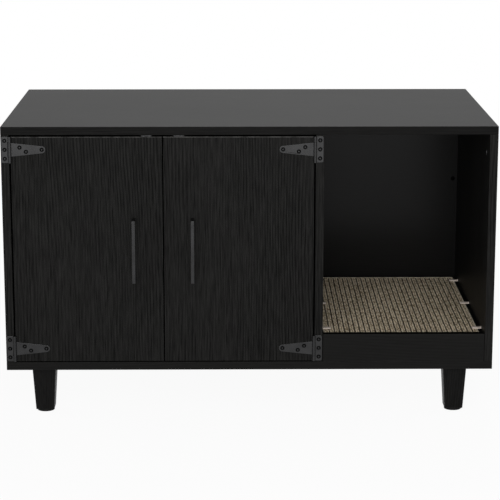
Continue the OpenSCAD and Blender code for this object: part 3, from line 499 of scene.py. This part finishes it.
def bevel_where(piece, wanted, radius, steps=3, mark_name="edge_wear_and_highlight", wear=1.0):
    """Rounds the edges for which wanted(edge) is true, marks their share of wear and painted highlight, and
    counts them.
    """
    pick_only(piece)
    bpy.ops.object.mode_set(mode="EDIT")
    bpy.ops.mesh.select_mode(type="EDGE")
    bpy.ops.mesh.select_all(action="DESELECT")
    mesh = bmesh.from_edit_mesh(piece.data)
    if not mesh.faces.layers.float.get(mark_name):
        mesh.faces.layers.float.new(mark_name)
    count = 0
    for edge in mesh.edges:
        edge.select_set(wanted(edge))
        count += edge.select
    bmesh.update_edit_mesh(piece.data)
    if count:
        bpy.ops.mesh.bevel(offset=radius, segments=steps, affect="EDGES", clamp_overlap=False)
        mesh = bmesh.from_edit_mesh(piece.data)
        mark = mesh.faces.layers.float[mark_name]
        for face in mesh.faces:
            narrow = 2 * face.calc_area() < radius * face.calc_perimeter()
            if face.select and narrow:
                face[mark] = wear
        bmesh.update_edit_mesh(piece.data)
    bpy.ops.object.mode_set(mode="OBJECT")
    return count


print("skin and bevel helpers are ready")

# %% [markdown]
# Which edges are rounded depends on where they lie, or on the two faces that meet in them. Each test below
# is made once for a box or a direction, and then asked about every edge.

# %% Tests for edges
near = 0.01 * mm
straight, aside = 0.99, 0.05
facing = 0.9
sharp_angle = math.radians(60)


def along_box(low, high):
    """A test for edges that lie along one of the twelve edges of a box."""
    def test(edge):
        a, b = (v.co for v in edge.verts)
        on_side = [
            abs(a[k] - b[k]) < near and min(abs(a[k] - low[k]), abs(a[k] - high[k])) < near
            for k in range(3)
        ]
        return sum(on_side) == 2

    return test


def front_top_of(low, high):
    """A test for the edge where the front of a box meets its top."""
    def test(edge):
        return all(v.co.y < low[1] + near and v.co.z > high[2] - near for v in edge.verts)

    return test


def rim_of_plate(axis):
    """A test for outer edges between a plate's face, which looks along an axis, and its upright rim."""
    axis = Vector(axis)

    def test(edge):
        if len(edge.link_faces) != 2 or not edge.is_convex:
            return False
        rim, face = sorted((face.normal.dot(axis) for face in edge.link_faces), key=abs)
        return face > straight and abs(rim) < aside

    return test


print("edge tests are ready")

# %% [markdown]
# ## Boards with rounded edges
# A board comes off the edge bander with its long edges broken by about a millimetre. Only the edges that lie
# along the board's own box are rounded, so holes and notches stay crisp, as a drill leaves them. A light line
# runs along the top of both doors: that edge is rounder, so it gets a wider bevel first, and that bevel takes
# the full lighter edge colour, a painted highlight; the other bevels of the boards take a tenth of it. The
# upper edge of the fascia board, which the animal steps over, is a dull black strip, so the faces that look up
# get a near-black film.

# %% Round the boards
edge_round, door_top_round = 0.9 * mm, 1.5 * mm
board_edge_highlight = 0.1
boards = {
    "top_panel": ("cabinet", top_film),
    "bottom_panel": ("cabinet", level_film),
    "left_side_panel": ("cabinet", upright_film),
    "right_side_panel": ("cabinet", upright_film),
    "divider_panel": ("cabinet", upright_film),
    "fascia_board": ("cabinet", level_film),
    "platform_board": ("cabinet", level_film),
    "cupboard_back": ("cabinet", back_film),
    "entrance_back": ("cabinet", back_film),
    "left_door_panel": ("left_door", upright_film),
    "right_door_panel": ("right_door", upright_film),
}
for node, (body, film) in boards.items():
    board = skin_of(node, node + "_skin")
    low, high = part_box(node)
    if "door" in node:
        # The top front bevel of a door keeps the full lighter edge colour: a painted highlight.
        bevel_where(board, front_top_of(low, high), door_top_round, 4)
    rounded = bevel_where(board, along_box(low, high), edge_round, wear=board_edge_highlight)
    dress(board, body, film, [node])
    print(board.name, "has", rounded, "rounded edges and", len(board.data.polygons), "faces")

fascia = bpy.data.objects["fascia_board_skin"]
# The faces of the fascia that look up get the near-black film.
fascia.data.materials.append(fascia_top_dark)
for face in fascia.data.polygons:
    face.material_index = int(face.normal.z > facing)

# %% [markdown]
# ## Pieces that start as a block
# The legs, the handles and the binding of the mat aren't copies of their nodes. Each starts as a plain block
# at the place and size that its node gives, and takes its form by a few steps on faces that are picked by
# the way they look.

# %% Helpers for blocks
def middle_of(low, high):
    """The point in the middle of a box."""
    return [(a + b) / 2 for a, b in zip(low, high)]


def block(name, middle, size):
    """A plain block of some size about a point, with the object itself at the origin."""
    bpy.ops.object.select_all(action="DESELECT")
    bpy.ops.mesh.primitive_cube_add(size=1, location=middle)
    piece = bpy.context.object
    piece.name = name
    piece.scale = size
    bpy.ops.object.transform_apply(location=True, rotation=True, scale=True)
    return piece


def select_faces(piece, wanted):
    """In edit mode, selects the faces for which wanted(face) is true."""
    bpy.ops.mesh.select_mode(type="FACE")
    bpy.ops.mesh.select_all(action="DESELECT")
    mesh = bmesh.from_edit_mesh(piece.data)
    for face in mesh.faces:
        face.select_set(wanted(face))
    bmesh.update_edit_mesh(piece.data)


print("block helpers are ready")

# %% [markdown]
# ## Legs
# A leg is a block of wood sawn to a taper on all four sides and painted. It starts at the size of its foot,
# its top face is scaled up to the size of its head, and the bevel is widest on the four long edges, where
# the sander has passed. A thin chamfer round the foot keeps the paint from chipping.

# %% Shape the legs
leg_nodes = ["leg_front_left", "leg_front_right", "leg_back_left", "leg_back_right"]
leg_low, leg_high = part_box(leg_nodes[0])
leg_points = np.array([v.co for v in frame["nodes"][leg_nodes[0]].data.vertices])
foot_points = leg_points[leg_points[:, 2] < leg_low[2] + near]
foot_w = foot_points[:, 0].max() - foot_points[:, 0].min()
head_w = leg_high[0] - leg_low[0]
leg_h = leg_high[2] - leg_low[2]
leg_round, foot_round = 1.6 * mm, 0.6 * mm


def shape_leg(name, low, high):
    """A tapered leg in the box from low to high."""
    middle = middle_of(low, high)
    leg = block(name, middle, (foot_w, foot_w, leg_h))
    bpy.ops.object.mode_set(mode="EDIT")
    select_faces(leg, lambda face: face.normal.z > facing)
    grow = head_w / foot_w
    bpy.ops.transform.resize(value=(grow, grow, 1), center_override=(middle[0], middle[1], high[2]))
    bpy.ops.object.mode_set(mode="OBJECT")
    bevel_where(leg, lambda edge: abs(edge.verts[0].co.z - edge.verts[1].co.z) > leg_h / 2, leg_round, 4)
    bevel_where(leg, lambda edge: all(v.co.z < low[2] + near for v in edge.verts), foot_round, 2)
    return leg


for node in leg_nodes:
    leg = shape_leg(node + "_wood", *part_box(node))
    dress(leg, "cabinet", leg_paint, [node])
print("each leg tapers from", round(head_w / mm), "to", round(foot_w / mm), "mm")

# %% [markdown]
# ## Hinges
# The leaves and straps are stamped from sheet steel, which leaves a soft roll-over along the outline on the
# side that the punch hits, so edges between the front of a plate and its upright rim are bevelled. The rim of
# each countersink is bevelled too, which leaves a shallow ring round each screw head, and the new faces are
# marked so that the coat paints them much darker: a painted shadow round each head. The round barrel is left
# as it is.

# %% Soften the hinge plates
plate_round, ring_w = 0.35 * mm, 1.1 * mm
least_slope, most_slope = 0.4, 0.9
corners = [(side, level) for side in ("left", "right") for level in ("top", "bottom")]
hinge_plates = {f"leaf_{side}_{level}": "cabinet" for side, level in corners}
hinge_plates |= {f"{side}_strap_{level}": f"{side}_door" for side, level in corners}


def rim_of_countersink(edge):
    """Says whether an edge lies between a plate's front and the slope of a countersink."""
    if len(edge.link_faces) != 2 or not edge.is_convex:
        return False
    slope, front = sorted(-face.normal.y for face in edge.link_faces)
    return front > straight and least_slope < slope < most_slope


for node, body in hinge_plates.items():
    plate = skin_of(node, node + "_plate")
    rims = bevel_where(plate, rim_of_countersink, ring_w, 2, "painted_ring_shadow")
    rounded = bevel_where(plate, rim_of_plate((0, -1, 0)), plate_round, 2)
    dress(plate, body, hinge_coat, [node])
    print(plate.name, "has", rounded, "softened edges and", rims, "edges round its countersinks")

# %% [markdown]
# ## Handles
# A handle is one length of square bar, bent at both ends to meet the door. It starts at the size of the
# grip. Two cuts mark off its ends, the faces behind them are pushed back to the door, and a small bevel
# takes off the sharp corners, as the coating does on the real bar.

# %% Bend the handles
handle_round = 0.6 * mm


def shape_handle(name, low, high):
    """A square bar with its ends bent back to the door, in the box from low to high."""
    bar, length = high[0] - low[0], high[2] - low[2]
    grip_back = low[1] + bar
    middle = middle_of(low, (high[0], grip_back, high[2]))

    def faces_door_at_end(face):
        return face.normal.y > facing and abs(face.calc_center_median().z - middle[2]) > length / 2 - bar

    def free_corner(edge):
        return edge.calc_face_angle(0) > sharp_angle and any(v.co.y < high[1] - near for v in edge.verts)

    handle = block(name, middle, (bar, bar, length))
    bpy.ops.object.mode_set(mode="EDIT")
    for level in (low[2] + bar, high[2] - bar):
        bpy.ops.mesh.select_all(action="SELECT")
        bpy.ops.mesh.bisect(plane_co=(0, 0, level), plane_no=(0, 0, 1))
    select_faces(handle, faces_door_at_end)
    bpy.ops.mesh.extrude_region_move(TRANSFORM_OT_translate={"value": (0, high[1] - grip_back, 0)})
    bpy.ops.object.mode_set(mode="OBJECT")
    bevel_where(handle, free_corner, handle_round, 3)
    return handle


for side in ("left", "right"):
    handle = shape_handle(side + "_handle_bar", *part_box(side + "_handle"))
    dress(handle, side + "_door", handle_coat, [side + "_handle"])
    print(handle.name, "has", len(handle.data.polygons), "faces")

# %% [markdown]
# ## Mat
# The mat is woven from natural fibre. Its cords run from front to back in pairs: two thin strands, twisted
# opposite ways, lie side by side and make one rib, so their twists meet in small arrow shapes. The ribs are
# flat on top with a narrow dark valley between them. A grid with ten points across each rib carries that
# relief as real geometry. How deep each point lies in a valley, a groove or a twist is also stored on the
# points, and the colours use it to paint shade into those creases.

# %% Weave the mat
mat_low, mat_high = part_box("scratch_mat")
mat_middle = middle_of(mat_low, mat_high)
mat_w, mat_l, mat_t = (high - low for low, high in zip(mat_low, mat_high))
rib_pitch, twist_pitch = 9.65 * mm, 7.2 * mm
points_per_rib, rows_per_twist = 10, 5
band_w = 3 * mm
rib_count = round(mat_w / rib_pitch)
field_w, field_l = mat_w - band_w, mat_l - band_w
field_x = mat_low[0] + band_w / 2
valley_depth, groove_depth, twist_depth, lump = 1.7 * mm, 0.5 * mm, 0.45 * mm, 0.25 * mm
valley_form, groove_form = 0.35, 0.5
twist_slant, rib_offset = 0.8, 0.37
lumps_across, lumps_along = 45, 30

bpy.ops.object.select_all(action="DESELECT")
bpy.ops.mesh.primitive_grid_add(
    x_subdivisions=rib_count * points_per_rib,
    y_subdivisions=round(field_l / (twist_pitch / rows_per_twist)),
    size=1, location=(mat_middle[0], mat_middle[1], mat_high[2]),
)
mat = bpy.context.object
mat.name = "woven_mat"
mat.scale = (field_w, field_l, 1)
bpy.ops.object.transform_apply(location=True, rotation=True, scale=True)
points = np.empty(len(mat.data.vertices) * 3)
mat.data.vertices.foreach_get("co", points)
points = points.reshape(-1, 3)
ribs_over = (points[:, 0] - field_x) / field_w * rib_count
in_strand = 2 * ribs_over % 1
hand = np.where(ribs_over % 1 < 0.5, 1, -1)
valley = 1 - np.abs(np.sin(np.pi * ribs_over)) ** valley_form
groove = (1 - np.abs(np.sin(2 * np.pi * ribs_over)) ** groove_form) * (1 - valley)
turns = points[:, 1] / twist_pitch + hand * twist_slant * in_strand + rib_offset * np.floor(ribs_over)
twist = (0.5 - 0.5 * np.cos(2 * np.pi * turns)) ** 2 * (1 - valley)
lumps = np.array([noise.noise((x * lumps_across, y * lumps_along, 0)) for x, y, z in points])
points[:, 2] -= valley * valley_depth + groove * groove_depth + twist * twist_depth
points[:, 2] -= lump * np.clip(0.5 - lumps, 0, 1)
mat.data.vertices.foreach_set("co", points.ravel())
for name, values in (("valley", valley), ("twist", twist), ("groove", groove)):
    mat.data.attributes.new(name, "FLOAT", "POINT").data.foreach_set("value", values)
mat.data.update()
print("the weave has", rib_count, "ribs and", len(mat.data.polygons), "faces")

# %% [markdown]
# The grid is only a top. Its open border is pushed down to the board and closed underneath, which makes the
# mat a sheet with a real thickness.

# %% Close the mat underneath
mat_lift = 0.2 * mm
pick_only(mat)
bpy.ops.object.mode_set(mode="EDIT")
bpy.ops.mesh.select_mode(type="EDGE")
bpy.ops.mesh.select_all(action="DESELECT")
bpy.ops.mesh.select_non_manifold()
bpy.ops.mesh.extrude_region_move(TRANSFORM_OT_translate={"value": (0, 0, -mat_t)})
bpy.ops.transform.resize(value=(1, 1, 0), center_override=(0, 0, mat_low[2] + mat_lift))
bpy.ops.mesh.edge_face_add()
bpy.ops.object.mode_set(mode="OBJECT")
print("the sheet's whole surface is", round(sum(face.area for face in mat.data.polygons), 3), "square metres")

# %% [markdown]
# A flat braid is folded over the mat's edge, so that the cords don't fray. It starts as a block at the size
# of the mat. Its top and bottom are inset by the width of the braid and bridged, which leaves a frame, and
# the outer top edge is rounded.

# %% Bind the mat's edge
band_round = 1.6 * mm


def top_corner(edge):
    """Says whether an edge of the binding is sharp and lies in the mat's upper face."""
    return edge.calc_face_angle(0) > sharp_angle and all(v.co.z > mat_high[2] - near for v in edge.verts)


band = block("mat_binding", mat_middle, (mat_w, mat_l, mat_t))
bpy.ops.object.mode_set(mode="EDIT")
select_faces(band, lambda face: abs(face.normal.z) > facing)
bpy.ops.mesh.inset(thickness=band_w, use_even_offset=True)
bpy.ops.mesh.bridge_edge_loops()
bpy.ops.object.mode_set(mode="OBJECT")
print("the binding has", bevel_where(band, top_corner, band_round, 4), "rounded edges")

# %% [markdown]
# ## Fibre
# Natural fibre is dull, straw-coloured and full of small differences: every strand has its own shade of straw,
# which comes from noise that is stretched along the cords. The twists, which show as fine slanted lines, the
# grooves between the strands and the valleys between the ribs are darkened by their depth, which was stored on
# the mesh: painted shade in the creases of the weave, down to a dark brown in the valleys.

# %% Make the fibre materials
cord_squeeze = 0.13
shade_blobs, patch_blobs, hair_blobs = 560, 34, 1500
shade_share, patch_share, hair_share = 0.78, 0.1, 0.12
twist_shadow_share, groove_shadow_share = 0.45, 0.85
hair_relief, hair_strength = 0.2, 0.8


def fibre(name, light, dark, valley_shadow_colour=None):
    """Twisted natural fibre, and for a weave also the painted shade in its twists, grooves and valleys."""
    material, tree, shader, place = new_material(name)
    shade = blobs(tree, squeezed(tree, place, along_y, cord_squeeze), shade_blobs, 2, 0.6)
    patch = blobs(tree, place, patch_blobs, 2, 0.5)
    hairs = blobs(tree, place, hair_blobs, 2, 0.6)
    mixed = maths(tree, "MULTIPLY_ADD", shade, shade_share, maths(tree, "MULTIPLY", patch, patch_share))
    mixed = maths(tree, "MULTIPLY_ADD", hairs, hair_share, mixed)
    colour = blend_colours(tree, spread(tree, mixed, 0.43, 0.53), dark, light)
    # The stored depths darken the colour below: painted shade in the creases of the weave.
    if valley_shadow_colour:
        twist_shadow = maths(tree, "MULTIPLY", stored(tree, "twist"), twist_shadow_share)
        groove_shadow = maths(tree, "MULTIPLY", stored(tree, "groove"), groove_shadow_share)
        colour = blend_colours(tree, maths(tree, "MAXIMUM", twist_shadow, groove_shadow), colour, dark)
        valley_shadow = maths(tree, "MULTIPLY_ADD", shade, 0.2, stored(tree, "valley"))
        colour = blend_colours(tree, spread(tree, valley_shadow, 0.3, 0.58), colour, valley_shadow_colour)
    bump = {"Height": hairs, "Distance": hair_relief * mm, "Strength": hair_strength}
    fill(tree, shader, {
        "Base Color": colour,
        "Normal": add(tree, "ShaderNodeBump", bump).outputs[0],
        "Roughness": 0.95,
        "Specular IOR Level": 0.02,
        "Sheen Weight": 0.03,
    })
    return material


mat_smooth_angle = 60
# The last colour of the cords is the painted shade at the bottom of the valleys.
cord_fibre = fibre("cord_fibre", (0.98, 0.855, 0.645), (0.24, 0.175, 0.1), (0.014, 0.007, 0.0015))
band_fibre = fibre("band_fibre", (0.84, 0.75, 0.6), (0.46, 0.385, 0.275))
dress(mat, "cabinet", cord_fibre, ["scratch_mat"], mat_smooth_angle)
dress(band, "cabinet", band_fibre, [], mat_smooth_angle)
print("the mat was cut to", round(mat_w, 3), "by", round(mat_l, 3), "m")

# %% [markdown]
# ## Pegs
# Each peg is a moulded pin with a flat tab. Moulded plastic has soft edges everywhere, so the rims of the six
# tabs are bevelled.

# %% Soften the pegs
peg_round = 0.5 * mm
pegs = skin_of("mat_pegs", "white_pegs")
print("the pegs have", bevel_where(pegs, rim_of_plate((0, 0, 1)), peg_round, 3), "softened edges")
dress(pegs, "cabinet", peg_plastic, ["mat_pegs"])

# %% [markdown]
# ## Heads with two tones
# A cam lock is a zinc drum in a bored hole, turned by a cross recess. The face of each drum is blackened and
# the recess is worn bare by the screwdriver, so in the dark bay only a small glint shows. The black screws of
# the hinges get a lighter middle, a painted highlight of each dome, so they read as a dark ring round a small
# glint. Each skin is taken apart into its loose parts by walking over shared edges, and the faces near a
# part's own axis get the second material.

# %% Colour the locks and the hinge screws
lock_reach, dome_highlight_reach = 5 * mm, 1.2 * mm


def loose_parts(mesh):
    """Yields the faces of a mesh in groups that hang together."""
    waiting = set(mesh.faces)
    while waiting:
        frontier = [waiting.pop()]
        part = set(frontier)
        while frontier:
            for edge in frontier.pop().edges:
                for face in edge.link_faces:
                    if face in waiting:
                        waiting.discard(face)
                        part.add(face)
                        frontier.append(face)
        yield part


def two_tone(piece, reach, outer, inner, axis=None, whole=False):
    """Gives the inner material to faces whose middle, or whole outline, is near each loose part's axis."""
    mesh = bmesh.new()
    mesh.from_mesh(piece.data)
    inner_faces = set()
    count = 0
    for part in loose_parts(mesh):
        count += 1
        corners = np.array([v.co for face in part for v in face.verts])
        low, high = corners.min(0), corners.max(0)
        along = int(np.argmin(high - low)) if axis is None else axis
        for face in part:
            spots = [v.co for v in face.verts] if whole else [face.calc_center_median()]
            off_axis = np.array(spots) - (low + high) / 2
            off_axis[:, along] = 0
            if np.linalg.norm(off_axis, axis=1).max() < reach:
                inner_faces.add(face.index)
    mesh.free()
    piece.data.materials.clear()
    piece.data.materials.append(outer)
    piece.data.materials.append(inner)
    for face in piece.data.polygons:
        face.material_index = int(face.index in inner_faces)
    print(piece.name, "has", count, "heads and", len(inner_faces), "faces of the second tone")


locks = skin_of("cam_locks", "cam_lock_skin")
two_tone(locks, lock_reach, black_zinc, bare_steel, whole=True)
dress(locks, "cabinet", None, ["cam_locks"])
hinge_screws = {
    "leaf_screws_all": "cabinet", "left_strap_screws": "left_door", "right_strap_screws": "right_door",
}
for node, body in hinge_screws.items():
    screws = skin_of(node, node + "_skin")
    # The middle of each screw head takes the lighter hinge coat: a painted highlight of the dome.
    two_tone(screws, dome_highlight_reach, screw_coat, hinge_coat, along_y)
    dress(screws, body, None, [node])

# %% [markdown]
# ## Fixings
# Screws, pins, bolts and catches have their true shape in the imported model, down to the cross recesses, so
# they are shown as they are. They only need their finish, which goes into the material slots of the nodes'
# own objects. The screws of the back panels are black and dull, as the dark dot in the picture shows, and the
# strike plates are of a plain steel that has lost its shine.

# %% Finish the fixings
finishes = {
    "hinge": hinge_coat, "zinc": zinc, "dowel": beech, "leg": cleat_wood, "black_plastic": black_plastic,
    "magnet": magnet_black,
}
own_finishes = {"back_screws": black_zinc, "left_strike_plate": worn_steel, "right_strike_plate": worn_steel}
slot_of = {row["node"]: row["material_slot"] for row in frame["record"]["subparts"]}
shown = [
    "back_blocks", "back_screws", "left_cleat", "right_cleat", "cleat_screws", "leg_bolts", "insert_nuts",
    "foot_glides", "cam_bolts", "dowels", "hinge_pins", "catch_housings", "catch_magnets", "catch_screws",
]
for side in ("left", "right"):
    shown += [f"{side}_{piece}" for piece in ("handle_screws", "strike_plate", "strike_screw")]
for node in shown:
    part = frame["nodes"][node]
    part.data.materials.clear()
    part.data.materials.append(own_finishes.get(node) or finishes[slot_of[node]])
print(len(shown), "nodes are shown with their own shape")

# %% Measure how much the cabinet grew
new_low, new_high = [list(corner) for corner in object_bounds()]
grown = [round((b - a) / mm, 2) for a, b in zip(cad_high, new_high)]
print("the cabinet grew by", grown, "mm at its far corner")
